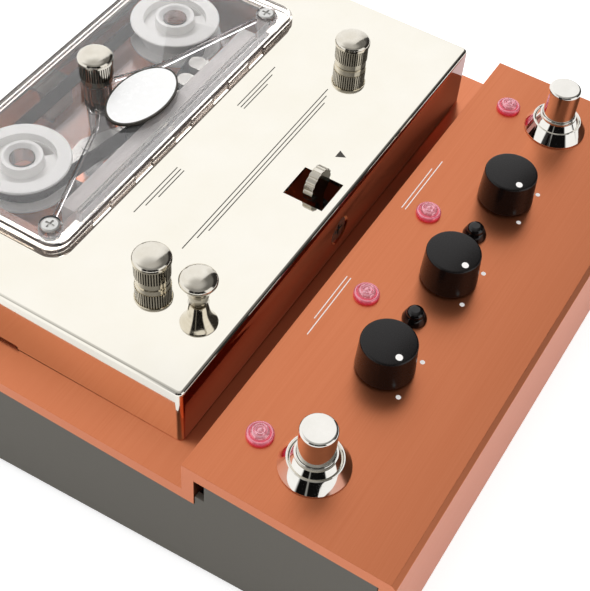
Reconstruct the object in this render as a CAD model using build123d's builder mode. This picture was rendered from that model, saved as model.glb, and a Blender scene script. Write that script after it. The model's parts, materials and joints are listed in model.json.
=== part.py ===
from build123d import *
import os
from math import cos, hypot, pi, radians, sin

# Tape echo unit. Millimetres, +Z up, +X to the player's right, +Y to the back.
# The origin is under the middle of the unit, on the plane its feet stand on.
# The control strip, the ledge and the deck lie parallel to one plane that leans forward, the
# "panel". Panel coordinates: x from the middle, y backwards from the strip's rear edge, z off it.

# ---- driving dimensions -------------------------------------------------------------------
body_width = 197.8
lean = 5.38                  # the panel's slope, degrees
foot_height = 2.5
panel_height = 57.06         # height of the strip's rear edge
strip_depth = 65.7
ledge_drop = 12.1            # ledge below the strip
body_back = 133.7
plate = 4.7                  # cover thickness
riser = 4.0                  # thickness of the step between strip and ledge
nose = 1.5                   # bevel along the strip's front edge
sheet = 2.0                  # tray thickness
side_inset = 0.3             # tray behind the cover's ends
jack_nose = 3.2              # how far the jacks stand out of the rear wall

deck_half = 86.75
deck_front = 8.15
deck_back = 121.5
deck_top = 10.74
deck_wall = 1.5

row_y = -29.8                # foot switches and knobs
lamp_y = -12.5
button_y = -28.7
pitch = 40.0                 # knob to knob
switch_x = 79.2
button_x = 20.0

cassette_half = 67.4
lid_half = 66.1
cassette_front = 65.0
cassette_back = 119.5
cassette_corner = 6.0
flange_top = 12.4
lid_top = 13.9
well_half = 63.2
well_front = 69.7
well_back = 118.2
well_low = 0.5
clear_wall = 1.4

spool_x = 41.0
spool_y = 98.9
drum_r = 11.8
roller_y = 85.6
roller_r = 5.3
capstan_r = 1.5
tape_thick = 0.2
tape_low = 3.5
tape_width = 6.35

running = 0.06               # radial clearance of a shaft in its bearing
gap = 0.3                    # clearance between parts that move past each other

# ---- frames and derived places ------------------------------------------------------------
rear_reach = body_back * cos(radians(lean)) + (ledge_drop + plate) * sin(radians(lean)) + jack_nose
front_reach = strip_depth * cos(radians(lean)) - nose * sin(radians(lean))

panel = Plane(
    origin=(0, (front_reach - rear_reach) / 2, panel_height),
    x_dir=(1, 0, 0),
    z_dir=(0, -sin(radians(lean)), cos(radians(lean))),
)
off_panel = Axis(panel.origin, panel.z_dir)
ledge = -ledge_drop
under_ledge = ledge - plate
deck_inner = deck_top - deck_wall
rear_wall = (front_reach + rear_reach) / 2 - jack_nose
floor_top = foot_height + sheet
apron_back = plate - strip_depth
cavity_floor = well_low + clear_wall
capstan_y = roller_y - roller_r - tape_thick - 2 * gap - capstan_r

hold_down = (-1.0, 100.3)
release = (-57.2, 22.5)
deck_screw_spots = [(-57.2, 38.4), (57.2, 38.4)]
boss_x = lid_half - 6.8
boss_spots = [(-boss_x, 73.4), (boss_x, 73.4), (-boss_x, 111.1), (boss_x, 111.1)]
arm_pivot = (-16, 93)
arm_tail = (-30, 93)
pillar_x = 88
knobs = {"level": (-pitch, -126), "feedback": (0, -122), "time": (pitch, -133)}
switches = {"bypass": -switch_x, "tap": switch_x}


def spot(x, y, z=0):
    """A point given in panel coordinates."""
    return panel.from_local_coords((x, y, z))


def level(z, x=0, y=0):
    """A plane parallel to the panel, with its origin over the panel point x, y."""
    return Plane(origin=spot(x, y, z), x_dir=panel.x_dir, z_dir=panel.z_dir)


def upright(x, y, z=0):
    """A plane through the panel's normal at x, y: its own X runs along the panel, its Y up."""
    return Plane(origin=spot(x, y, z), x_dir=panel.x_dir, z_dir=-panel.y_dir)


def sideways(x, y=0, z=0):
    """A plane facing +X: its own X runs back along the panel, its Y off the panel."""
    return Plane(origin=spot(x, y, z), x_dir=panel.y_dir, z_dir=panel.x_dir)


def section(y, z):
    """A panel point in the unit's own YZ plane."""
    point = spot(0, y, z)
    return (point.Y, point.Z)


def rear_port(x, z):
    """A plane through a rear socket's axis: its own Y points out of the wall."""
    return Plane(origin=(x, rear_wall, z), x_dir=(1, 0, 0), z_dir=(0, 0, 1))


def spin_profile(place, outline):
    """Revolves radius and height pairs about the place's own Y, inside the current part."""
    with BuildSketch(place) as half_section:
        with BuildLine():
            Polyline(*outline, close=True)
        make_face()
    revolve(half_section.sketch, axis=Axis(place.origin, place.y_dir))


def finish(piece, name):
    piece.part.label = name
    export_step(piece.part, f"parts/{name}.step")


os.makedirs("parts", exist_ok=True)

# ---- cover --------------------------------------------------------------------------------
apron_drop = 48.3

with BuildPart() as top_cover:
    with BuildSketch(sideways(-body_width / 2)):
        with BuildLine():
            Polyline(
                (body_back, ledge),
                (0, ledge),
                (0, 0),
                (nose - strip_depth, 0),
                (-strip_depth, -nose),
                (-strip_depth, -apron_drop),
                (apron_back, -apron_drop),
                (apron_back, -plate),
                (-riser, -plate),
                (-riser, under_ledge),
                (body_back, under_ledge),
                close=True,
            )
        make_face()
    extrude(amount=body_width)
    with BuildSketch(level(ledge)):
        with Locations(hold_down, *deck_screw_spots):
            Circle(2.6)
        with Locations((0, capstan_y)):
            Circle(5.0)
        with Locations(arm_pivot):
            Circle(2.0)
        with Locations(release):
            Circle(2.0)
    extrude(amount=-plate, mode=Mode.SUBTRACT)
    with BuildSketch(level(0)):
        with Locations((-switch_x, row_y), (switch_x, row_y)):
            Circle(6.05)
        with Locations((-pitch, row_y), (0, row_y), (pitch, row_y)):
            Circle(3.55)
        with Locations((-switch_x, lamp_y), (-button_x, lamp_y), (button_x, lamp_y), (switch_x, lamp_y)):
            Circle(3.2)
        with Locations((-button_x, button_y), (button_x, button_y)):
            Circle(3.2)
    extrude(amount=-plate, mode=Mode.SUBTRACT)
finish(top_cover, "top_cover")

# ---- base tray, with its pillars, screws and feet -------------------------------------------
tray_half = body_width / 2 - side_inset
tray_front = section(apron_back, -apron_drop)[0] + side_inset
notch_back = -riser - 0.2
notch_front = notch_back - 3.0
notch_floor = -12.9
jack_height = 26.0
jack_x = [-72, -36, 36, 72]
jack_bush_r = 4.65
board_posts = [(x, y) for x in (-74, 74) for y in (-24, 60)]
board_low = 10.5
pillar_spots = [(x, y) for x in (-pillar_x, pillar_x) for y in (tray_front + 8.5, rear_wall - 10.5)]

with BuildPart() as base_tray:
    with BuildSketch(Plane.YZ):
        with BuildLine():
            Polyline(
                (tray_front, foot_height),
                (tray_front, section(apron_back, -apron_drop)[1]),
                section(apron_back + side_inset, -plate),
                section(notch_front, -plate),
                section(notch_front, notch_floor),
                section(notch_back, notch_floor),
                section(notch_back, under_ledge),
                (rear_wall, section(body_back, under_ledge)[1]),
                (rear_wall, foot_height),
                close=True,
            )
        make_face()
    extrude(amount=tray_half, both=True)
    inside = Plane.YZ.offset(sheet - tray_half)
    with BuildSketch(inside):
        with BuildLine():
            Polyline(
                (tray_front - plate, floor_top),
                (tray_front - plate, panel_height + plate),
                (rear_wall - sheet, panel_height + plate),
                (rear_wall - sheet, floor_top),
                close=True,
            )
        make_face()
    extrude(amount=2 * (tray_half - sheet), mode=Mode.SUBTRACT)
    fillet(base_tray.edges().filter_by(Axis.Y).group_by(Axis.Z)[0], 1.5)
    with BuildSketch(Plane.XY.offset(foot_height)):
        with Locations(*pillar_spots):
            Circle(1.7)
    extrude(amount=sheet, mode=Mode.SUBTRACT)
    with BuildSketch(Plane(origin=(0, rear_wall, jack_height), x_dir=(-1, 0, 0), z_dir=(0, 1, 0))):
        with Locations(*[(-x, 0) for x in jack_x]):
            Circle(jack_bush_r + 0.05)
        Circle(5.45)
    extrude(amount=-sheet, mode=Mode.SUBTRACT)
    with BuildSketch(Plane.XY.offset(floor_top)):
        with Locations(*board_posts):
            Circle(3.0)
    extrude(amount=board_low - floor_top)
finish(base_tray, "base_tray")

with BuildPart() as tray_pillars:
    with BuildSketch(Plane.XY.offset(floor_top)):
        with Locations(*pillar_spots):
            RegularPolygon(3.4, 6)
    extrude(amount=panel_height)
    with BuildSketch(sideways(-body_width / 2)):
        with BuildLine():
            Polyline(
                (-strip_depth, -plate),
                (-riser, -plate),
                (-riser, under_ledge),
                (body_back, under_ledge),
                (body_back, panel_height),
                (-strip_depth, panel_height),
                close=True,
            )
        make_face()
    extrude(amount=body_width, mode=Mode.SUBTRACT)
    with BuildSketch(Plane.XY.offset(floor_top)):
        with Locations(*pillar_spots):
            Circle(1.55)
    extrude(amount=8, mode=Mode.SUBTRACT)
finish(tray_pillars, "tray_pillars")

with BuildPart() as tray_screws:
    for x, y in pillar_spots:
        place = Plane(origin=(x, y, foot_height), x_dir=(1, 0, 0), z_dir=(0, -1, 0))
        spin_profile(place, [(0, -1.7), (2.6, -1.7), (3.0, -1.2), (3.0, 0), (1.5, 0), (1.5, 9), (0, 9)])
        with BuildSketch(Plane.XY.offset(foot_height - 1.7)):
            with Locations((x, y)):
                Rectangle(3.4, 0.8)
                Rectangle(0.8, 3.4)
        extrude(amount=1, mode=Mode.SUBTRACT)
finish(tray_screws, "tray_screws")

with BuildPart() as rubber_feet:
    for x, y in pillar_spots:
        place = Plane(origin=(x, y, 0), x_dir=(1, 0, 0), z_dir=(0, -1, 0))
        spin_profile(place, [(3.6, 0), (6.4, 0), (7.4, 0.8), (7.8, foot_height), (3.6, foot_height)])
finish(rubber_feet, "rubber_feet")

# ---- rear sockets -------------------------------------------------------------------------
jack_bore = 3.2

with BuildPart() as signal_jacks:
    for x in jack_x:
        inner_face = Plane(origin=(x, rear_wall - sheet, jack_height), x_dir=(-1, 0, 0), z_dir=(0, 1, 0))
        with BuildSketch(inner_face):
            RectangleRounded(16, 16, 1)
        extrude(amount=-22)
        with BuildSketch(inner_face):
            Circle(jack_bush_r)
        extrude(amount=sheet + jack_nose)
        with BuildSketch(inner_face.offset(sheet + jack_nose)):
            Circle(jack_bore)
        extrude(amount=-24, mode=Mode.SUBTRACT)
finish(signal_jacks, "signal_jacks")

with BuildPart() as jack_nuts:
    for x in jack_x:
        with BuildSketch(Plane(origin=(x, rear_wall, jack_height), x_dir=(-1, 0, 0), z_dir=(0, 1, 0))):
            RegularPolygon(6.6, 6)
            Circle(jack_bush_r, mode=Mode.SUBTRACT)
        extrude(amount=2.2)
finish(jack_nuts, "jack_nuts")

with BuildPart() as power_inlet:
    spin_profile(
        rear_port(0, jack_height),
        [(0, -14), (5.4, -14), (5.4, 0), (6.8, 0), (6.4, 1.6), (2.9, 1.6), (2.9, -9.5), (1.0, -9.5),
         (1.0, 0.5), (0, 0.9)],
    )
finish(power_inlet, "power_inlet")

# ---- circuit boards -----------------------------------------------------------------------
board_thick = 1.6

with BuildPart() as main_board:
    with BuildSketch(Plane.XY.offset(board_low)):
        with Locations((0, 18)):
            Rectangle(160, 96)
    extrude(amount=board_thick)
    with BuildSketch(Plane.XY.offset(board_low + board_thick)):
        with Locations((-50, 0)):
            with GridLocations(22, 16, 3, 3):
                Rectangle(10, 6)
    extrude(amount=2.2)
    with BuildSketch(Plane.XY.offset(board_low + board_thick)):
        with Locations((50, 44)):
            with GridLocations(14, 14, 3, 2):
                Circle(4)
    extrude(amount=9)
finish(main_board, "main_board")

control_low = -17.5

with BuildPart() as control_board:
    with BuildSketch(level(control_low)):
        with Locations((0, -26)):
            Rectangle(2 * (tray_half - sheet) - 4, 36)
        with Locations((-switch_x, row_y), (switch_x, row_y)):
            Rectangle(20, 20, mode=Mode.SUBTRACT)
    extrude(amount=board_thick)
finish(control_board, "control_board")
control_top = control_low + board_thick

# ---- knobs and potentiometers ---------------------------------------------------------------
shaft_r = 2.95
bush_top = 4.0
shaft_top = 10.6
knob_top = 12.5
knob_wide = 8.84
knob_narrow = 8.3

with BuildPart() as pot_bodies:
    for x, _ in knobs.values():
        spin_profile(
            upright(x, row_y),
            [(0, control_top), (8.0, control_top), (8.0, -6.2), (7.2, -plate), (3.5, -plate),
             (3.5, bush_top), (shaft_r + running, bush_top), (shaft_r + running, -10), (0, -10)],
        )
finish(pot_bodies, "pot_bodies")

with BuildPart() as pot_nuts:
    for x, _ in knobs.values():
        with BuildSketch(level(0, x, row_y)):
            RegularPolygon(5.6, 6)
            Circle(3.55, mode=Mode.SUBTRACT)
        extrude(amount=2.2)
finish(pot_nuts, "pot_nuts")

for name, (x, pointer) in knobs.items():
    with BuildPart() as pot_shaft:
        with BuildSketch(level(gap - 10, x, row_y)):
            Circle(shaft_r)
        extrude(amount=shaft_top + 10 - gap)
        with BuildSketch(level(bush_top + 1, x, row_y)):
            with Locations((0, -shaft_r)):
                Rectangle(2 * shaft_r, 2.8)
        extrude(amount=shaft_top, mode=Mode.SUBTRACT)
    finish(pot_shaft, f"{name}_shaft")

    with BuildPart() as knob:
        spin_profile(
            upright(x, row_y),
            [(0, knob_top), (knob_narrow, knob_top), (knob_wide, 0.5), (7.6, 0.5), (7.4, 9.8), (4.8, 9.8),
             (4.8, bush_top + 0.4), (shaft_r, bush_top + 0.4), (shaft_r, shaft_top), (0, shaft_top)],
        )
        rim = knob.edges().filter_by(GeomType.CIRCLE).sort_by_distance(spot(x + knob_narrow, row_y, knob_top))
        fillet(rim[0], 1.3)
        dot_reach = 6.2
        with BuildSketch(level(knob_top, x, row_y)):
            with Locations((dot_reach * cos(radians(pointer)), dot_reach * sin(radians(pointer)))):
                Circle(1.05)
        extrude(amount=-0.25, mode=Mode.SUBTRACT)
    finish(knob, f"{name}_knob")

# ---- foot switches ------------------------------------------------------------------------
plunger_r = 5.3
plunger_top = 17.9
plunger_low = -6.0
switch_travel = 2.5
body_top = -8.0

with BuildPart() as switch_bodies:
    for x in switches.values():
        with BuildSketch(level(body_top, x, row_y)):
            RectangleRounded(17, 17.5, 1)
        extrude(amount=-16)
        with BuildSketch(level(-24, x, row_y)):
            with GridLocations(4.8, 5.3, 3, 3):
                Rectangle(2.2, 0.8)
        extrude(amount=-4)
        inner = plunger_r + running
        spin_profile(
            upright(x, row_y),
            [(inner, body_top), (6.0, body_top), (6.0, 6.1), (5.6, 6.8), (inner, 6.8)],
        )
        with BuildSketch(level(body_top, x, row_y)):
            Circle(inner)
        extrude(amount=plunger_low - switch_travel - 1.5 - body_top, mode=Mode.SUBTRACT)
finish(switch_bodies, "switch_bodies")

for name, x in switches.items():
    with BuildPart() as plunger:
        with BuildSketch(level(plunger_low, x, row_y)):
            Circle(plunger_r)
        extrude(amount=plunger_top - plunger_low)
        crown = plunger.edges().filter_by(GeomType.CIRCLE).group_by(off_panel)[-1]
        fillet(crown, 1.0)
    finish(plunger, f"{name}_plunger")

with BuildPart() as switch_dress_nuts:
    for x in switches.values():
        spin_profile(
            upright(x, row_y),
            [(6.05, 0), (10.0, 0), (10.2, 0.2), (10.2, 0.5), (8.35, 3.7), (8.25, 4.1), (7.95, 4.3),
             (7.65, 4.2), (7.4, 3.9), (6.1, 6.0), (6.05, 6.0)],
        )
finish(switch_dress_nuts, "switch_dress_nuts")

with BuildPart() as switch_back_nuts:
    for x in switches.values():
        with BuildSketch(level(-plate, x, row_y)):
            RegularPolygon(8.0, 6)
            Circle(6.05, mode=Mode.SUBTRACT)
        extrude(amount=-3)
finish(switch_back_nuts, "switch_back_nuts")

# ---- push buttons and lamps ---------------------------------------------------------------
cap_r = 2.78
button_travel = 1.5

for name, x in {"short": -button_x, "long": button_x}.items():
    with BuildPart() as button_cap:
        with BuildSketch(level(-5.5, x, button_y)):
            Circle(cap_r)
        extrude(amount=9.8)
        crown = button_cap.edges().filter_by(GeomType.CIRCLE).group_by(off_panel)[-1]
        fillet(crown, 1.2)
    finish(button_cap, f"{name}_head_button")

with BuildPart() as button_bezels:
    for x in (-button_x, button_x):
        bore = cap_r + running
        spin_profile(
            upright(x, button_y),
            [(bore, -4), (3.15, -4), (3.15, 0), (3.75, 0), (3.75, 0.6), (3.4, 1.7), (3.05, 2.5), (bore, 2.6)],
        )
finish(button_bezels, "button_bezels")

with BuildPart() as push_switches:
    for x in (-button_x, button_x):
        with BuildSketch(level(control_top, x, button_y)):
            Rectangle(7, 7)
        extrude(amount=-5.5 - button_travel - gap - control_top)
finish(push_switches, "push_switches")

lamp_x = [-switch_x, -button_x, button_x, switch_x]

with BuildPart() as lamp_lenses:
    for x in lamp_x:
        spin_profile(
            upright(x, lamp_y),
            [(0, -5), (3.15, -5), (3.15, 0), (4.0, 0), (4.0, 1.2), (3.7, 1.7), (2.95, 2.0), (2.7, 2.5),
             (2.4, 2.65), (2.0, 2.4), (1.6, 2.75), (1.2, 2.5), (0.8, 2.8), (0, 2.9)],
        )
finish(lamp_lenses, "lamp_lenses")

with BuildPart() as lamp_diodes:
    for x in lamp_x:
        spin_profile(
            upright(x, lamp_y),
            [(0, control_top), (2.9, control_top), (2.9, control_top + 1), (2.5, control_top + 1),
             (2.5, -7), (1.6, -5.6), (0, -5.3)],
        )
finish(lamp_diodes, "lamp_diodes")

# ---- deck cover, its pillars and its screws --------------------------------------------------
wheel_hole = (-0.8, 18.3)
deck_screw_z = -2.6
slot_front = 66.5
slot_half = 0.85

with BuildPart() as deck_cover:
    with BuildSketch(level(ledge)):
        with Locations((0, (deck_front + deck_back) / 2)):
            RectangleRounded(2 * deck_half, deck_back - deck_front, 2.0)
    extrude(amount=deck_top - ledge)
    fillet(deck_cover.faces().sort_by(off_panel)[-1].edges(), 1.2)
    offset(amount=-deck_wall, openings=deck_cover.faces().sort_by(off_panel)[0])
    with BuildSketch(level(deck_top)):
        with Locations((0, (well_front - gap + well_back + gap) / 2)):
            RectangleRounded(2 * (well_half + gap), well_back - well_front + 2 * gap, 4.3)
        with Locations((0, 69)):
            Rectangle(105, 3.2)
        with Locations(wheel_hole):
            Rectangle(13.2, 13.8)
        with Locations(*deck_screw_spots):
            Circle(2.6)
        with Locations(release):
            Circle(3.05)
    extrude(amount=-2 * deck_wall, mode=Mode.SUBTRACT)
    for y, inward in ((deck_front, 1), (deck_back, -1)):
        outer = Plane(origin=spot(0, y, deck_screw_z), x_dir=(1, 0, 0), z_dir=panel.y_dir * inward)
        with BuildSketch(outer):
            Circle(5.0)
        extrude(amount=deck_wall, taper=45, mode=Mode.SUBTRACT)
    with BuildSketch(sideways(-deck_half)):
        with Locations((slot_front + 22, ledge + slot_half)):
            SlotOverall(44, 2 * slot_half)
    extrude(amount=deck_wall, mode=Mode.SUBTRACT)
finish(deck_cover, "deck_cover")

lug_thick = 2.2

arm_low = -3.2
arm_thick = 1.5

with BuildPart() as ledge_posts:
    for x, y in deck_screw_spots:
        with BuildSketch(level(ledge, x, y)):
            Circle(5.0)
            Circle(2.5, mode=Mode.SUBTRACT)
        extrude(amount=deck_inner - ledge)
    with BuildSketch(level(ledge, *hold_down)):
        Circle(4.2)
        Circle(2.1, mode=Mode.SUBTRACT)
    extrude(amount=well_low - gap - ledge)
    for y in (deck_front + deck_wall, deck_back - deck_wall - lug_thick):
        with BuildSketch(level(ledge)):
            with Locations((0, y + lug_thick / 2)):
                Rectangle(12, lug_thick)
        extrude(amount=deck_screw_z + 2.7 - ledge)
    with BuildSketch(Plane(origin=spot(0, deck_front, deck_screw_z), x_dir=(1, 0, 0), z_dir=panel.y_dir)):
        Circle(1.65)
    extrude(amount=deck_back - deck_front, mode=Mode.SUBTRACT)
    spin_profile(
        upright(*arm_pivot),
        [(0, under_ledge), (1.95, under_ledge), (1.95, ledge), (3.4, ledge), (3.4, arm_low - 0.1),
         (1.9, arm_low - 0.1), (1.9, arm_low + arm_thick + 0.1), (2.9, arm_low + arm_thick + 0.1),
         (2.9, -0.9), (0, -0.9)],
    )
finish(ledge_posts, "ledge_posts")

with BuildPart() as deck_screws:
    for y, inward in ((deck_front, 1), (deck_back, -1)):
        axis_plane = Plane(origin=spot(0, y, deck_screw_z), x_dir=(1, 0, 0), z_dir=panel.z_dir * inward)
        spin_profile(
            axis_plane,
            [(0, 0.5), (4.3, 0.5), (3.4, deck_wall), (1.6, deck_wall), (1.6, 4.6), (0, 4.6)],
        )
        with BuildSketch(Plane(origin=spot(0, y, deck_screw_z), x_dir=(1, 0, 0), z_dir=panel.y_dir * inward)):
            Rectangle(4.6, 1.1)
            Rectangle(1.1, 4.6)
        extrude(amount=1.4, mode=Mode.SUBTRACT)
finish(deck_screws, "deck_screws")

# ---- knurled screws -----------------------------------------------------------------------
knurl_teeth = 40
knurl_r = 5.45
knurl_depth = 0.35
head_r = 5.85


def knurled_screw(x, y, seat, tip):
    """A hand screw: threaded shank, smooth collar, knurled band and a domed head."""
    collar = seat + 0.1
    band = collar + 2.2
    crown = band + 5.6
    top = crown + 3.0
    with BuildPart() as screw:
        with BuildSketch(upright(x, y)):
            with BuildLine():
                Polyline(
                    (0.5, top), (0, top), (0, tip), (1.6, tip), (2.0, tip + 0.6), (2.0, collar),
                    (5.0, collar), (5.3, collar + 0.3), (5.3, band), (4.9, band), (4.9, crown),
                    (5.7, crown), (head_r, crown + 0.2), (head_r, crown + 1.0),
                )
                ThreePointArc((head_r, crown + 1.0), (5.5, crown + 1.75), (4.6, crown + 2.25))
                ThreePointArc((4.6, crown + 2.25), (2.4, crown + 2.85), (0.5, top))
            make_face()
        revolve(axis=Axis(spot(x, y), panel.z_dir))
        with BuildSketch(level(band, x, y)):
            with BuildLine():
                teeth = [
                    (radius * cos(pi * step / knurl_teeth), radius * sin(pi * step / knurl_teeth))
                    for step in range(2 * knurl_teeth)
                    for radius in [knurl_r - knurl_depth * (step % 2)]
                ]
                Polyline(*teeth, close=True)
            make_face()
        extrude(amount=crown - band)
    return screw


for name, (x, y) in zip(("left", "right"), deck_screw_spots):
    finish(knurled_screw(x, y, deck_top, -8), f"{name}_thumb_screw")
finish(knurled_screw(*hold_down, lid_top, -8), "hold_down_screw")

# ---- deck release -------------------------------------------------------------------------
bushing_low = 5.0
clip_z = -5.2
knob_foot = deck_top + gap
flare_low = deck_top + 3.5   # where the knob starts to swell
widest = deck_top + 9.3
knob_r = 5.65

with BuildPart() as release_bushing:
    stem_bore = 1.45 + running
    spin_profile(
        upright(*release),
        [(stem_bore, bushing_low), (4.2, bushing_low), (4.2, deck_inner), (3.0, deck_inner),
         (3.0, deck_top - 0.1), (stem_bore, deck_top - 0.1)],
    )
finish(release_bushing, "release_bushing")

with BuildPart() as release_knob:
    with BuildSketch(upright(*release)):
        with BuildLine():
            Polyline(
                (0, -15.5), (1.0, -15.5), (1.45, -14.6), (1.45, clip_z - 0.8), (3.0, clip_z - 0.8),
                (3.0, clip_z), (1.45, clip_z), (1.45, knob_foot), (2.6, knob_foot), (3.2, flare_low),
            )
            ThreePointArc((3.2, flare_low), (3.9, deck_top + 6.0), (5.2, widest - 0.7))
            Line((5.2, widest - 0.7), (knob_r, widest))
            ThreePointArc((knob_r, widest), (5.3, widest + 1.1), (4.5, widest + 1.8))
            ThreePointArc((4.5, widest + 1.8), (2.3, widest + 2.55), (0.5, widest + 2.8))
            Polyline((0.5, widest + 2.8), (0, widest + 2.8), (0, -15.5))
        make_face()
    revolve(axis=Axis(spot(*release), panel.z_dir))
finish(release_knob, "release_knob")

spring_wire = 0.3

with BuildPart() as release_spring:
    with BuildLine() as coil:
        Helix(
            pitch=1.9,
            height=bushing_low - clip_z - 2 * spring_wire - 0.1,
            radius=2.3,
            center=spot(*release, clip_z + spring_wire + 0.05),
            direction=panel.z_dir,
        )
    with BuildSketch(Plane(origin=coil.line @ 0, z_dir=coil.line % 0)):
        RegularPolygon(spring_wire, 6)
    sweep(is_frenet=True)
finish(release_spring, "release_spring")

# ---- deck lock ----------------------------------------------------------------------------
lever_y = 17.7
lever_thick = 3.2
axle_z = -2.0
paddle_z = 12.75
paddle_r = 5.7
slide_low = -9.4
slide_thick = 1.5

with BuildPart() as lock_lever:
    lever_front = Plane(origin=spot(0, lever_y + lever_thick / 2, 0), x_dir=(1, 0, 0), z_dir=-panel.y_dir)
    with BuildSketch(lever_front):
        with Locations((0, paddle_z)):
            Circle(paddle_r)
        with Locations((0, (paddle_z + slide_low) / 2)):
            Rectangle(5, paddle_z - slide_low)
        with Locations((0, paddle_z)):
            with PolarLocations(paddle_r, 9, start_angle=-10, angular_range=200):
                Circle(0.45, mode=Mode.SUBTRACT)
    extrude(amount=lever_thick)
    with BuildSketch(sideways(-3.6)):
        with Locations((lever_y, axle_z)):
            Circle(3.0)
    extrude(amount=7.2)
    with BuildSketch(sideways(-3.6)):
        with Locations((lever_y, axle_z)):
            Circle(1.5 + running)
    extrude(amount=7.2, mode=Mode.SUBTRACT)
finish(lock_lever, "lock_lever")

with BuildPart() as lock_axle:
    with BuildSketch(sideways(-6.8)):
        with Locations((lever_y, axle_z)):
            Circle(1.5)
    extrude(amount=13.6)
finish(lock_axle, "lock_axle")

with BuildPart() as lock_bracket:
    for side in (-1, 1):
        with BuildSketch(sideways(4.9 * side - 0.75)):
            with Locations((lever_y, axle_z)):
                Circle(3.2)
            with Locations((lever_y, (axle_z + ledge) / 2)):
                Rectangle(6.4, axle_z - ledge)
            with Locations((lever_y, axle_z)):
                Circle(1.5, mode=Mode.SUBTRACT)
        extrude(amount=1.5)
    with BuildSketch(level(ledge)):
        with Locations((0, lever_y)):
            Rectangle(22, 6.4)
    extrude(amount=1.2)
finish(lock_bracket, "lock_bracket")

with BuildPart() as lock_slide:
    with BuildSketch(level(slide_low)):
        with Locations((0, 40.2)):
            Rectangle(8, 51.6)
        with Locations((-15, 63)):
            Rectangle(38, 6)
        with Locations((-30, 79)):
            Rectangle(8, 38)
        with Locations((0, lever_y)):
            Rectangle(5.6, 4.3, mode=Mode.SUBTRACT)
        with Locations(arm_tail):
            Circle(1.6, mode=Mode.SUBTRACT)
    extrude(amount=slide_thick)
finish(lock_slide, "lock_slide")

# ---- tape transport on the ledge ------------------------------------------------------------
bridge_low = -3.0
bridge_top = -1.0
bearing_top = -4.0
heads = {"erase": -11, "record": 10, "short": 19, "long": 28}

with BuildPart() as head_bridge:
    with BuildSketch(level(bridge_low)):
        with Locations((9, 76.4)):
            Rectangle(52, 9.6)
        with Locations((0, capstan_y)):
            Circle(2.4, mode=Mode.SUBTRACT)
    extrude(amount=bridge_top - bridge_low)
    with BuildSketch(level(ledge)):
        for x in (-14.5, 32.5):
            with Locations((x, 73.6)):
                Rectangle(5, 4)
    extrude(amount=bridge_low - ledge)
finish(head_bridge, "head_bridge")


def tape_front(x):
    """Where the tape's outer face runs, in front of the pinch roller and out to the spools."""
    reach = hypot(spool_x, spool_y - roller_y)
    slope = (drum_r - roller_r) / reach
    rise = (spool_y - roller_y) / reach
    run = spool_x / reach
    grade = rise * (1 - slope ** 2) ** 0.5 - run * slope
    level_run = run * (1 - slope ** 2) ** 0.5 + rise * slope
    outer = roller_r + gap + tape_thick
    return roller_y - outer / level_run + abs(x) * grade / level_run


head_long = 9.0
head_wide = 6.0

with BuildPart() as tape_heads:
    for x in heads.values():
        face_y = tape_front(x) - gap
        with BuildSketch(level(bridge_top)):
            with Locations((x, face_y - head_wide / 2)):
                Circle(head_wide / 2)
            with Locations((x, face_y - (head_long + head_wide / 2) / 2)):
                Rectangle(head_wide, head_long - head_wide / 2)
        extrude(amount=9.2 - bridge_top)
finish(tape_heads, "tape_heads")

flywheel_low = -40.5
flywheel_top = -34.5
belt_low = -38.6
belt_top = -36.4
flywheel_r = 22.0
pulley_r = 5.0
groove = 1.0
motor = (48, 60)
motor_shaft_r = 1.0

with BuildPart() as capstan_bearing:
    spin_profile(
        upright(0, capstan_y),
        [(capstan_r + running, -33), (3.2, -33), (4.9, -31), (4.9, ledge), (8.0, ledge), (8.0, ledge + 1.5),
         (4.0, ledge + 1.5), (3.4, bearing_top), (capstan_r + running, bearing_top)],
    )
finish(capstan_bearing, "capstan_bearing")

with BuildPart() as capstan_shaft:
    with BuildSketch(level(flywheel_low - 1, 0, capstan_y)):
        Circle(capstan_r)
    extrude(amount=9.2 + 1 - flywheel_low)
finish(capstan_shaft, "capstan_shaft")

with BuildPart() as flywheel:
    spin_profile(
        upright(0, capstan_y),
        [(capstan_r, flywheel_low), (6, flywheel_low), (7, flywheel_low + 1.6), (16, flywheel_low + 1.6),
         (17, flywheel_low), (flywheel_r, flywheel_low), (flywheel_r, belt_low - gap),
         (flywheel_r - groove, belt_low - gap), (flywheel_r - groove, belt_top + gap),
         (flywheel_r, belt_top + gap), (flywheel_r, flywheel_top), (17, flywheel_top),
         (16, flywheel_top - 1.6), (7, flywheel_top - 1.6), (6, flywheel_top), (capstan_r, flywheel_top)],
    )
finish(flywheel, "flywheel")

with BuildPart() as motor_pulley:
    spin_profile(
        upright(*motor),
        [(motor_shaft_r, flywheel_low), (pulley_r, flywheel_low), (pulley_r, belt_low - gap),
         (pulley_r - groove, belt_low - gap), (pulley_r - groove, belt_top + gap), (pulley_r, belt_top + gap),
         (pulley_r, flywheel_top), (motor_shaft_r, flywheel_top)],
    )
finish(motor_pulley, "motor_pulley")

with BuildPart() as drive_motor:
    bore = motor_shaft_r + running
    spin_profile(
        upright(*motor),
        [(0, under_ledge), (12.5, under_ledge), (12.5, -32.4), (11.5, -33.4), (3.0, -33.4), (3.0, -34.0),
         (bore, -34.0), (bore, -24.0), (0, -24.0)],
    )
finish(drive_motor, "drive_motor")

with BuildPart() as motor_spindle:
    with BuildSketch(level(flywheel_low - 0.5, *motor)):
        Circle(motor_shaft_r)
    extrude(amount=-24.0 - gap - (flywheel_low - 0.5))
finish(motor_spindle, "motor_spindle")


def loop_outline(circles, grow):
    """The closed line that a taut band takes round some wheels."""
    rounds = [CenterArc((x, y), radius + grow, 0, 360) for x, y, radius in circles]
    return make_hull(rounds, mode=Mode.PRIVATE)


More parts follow.
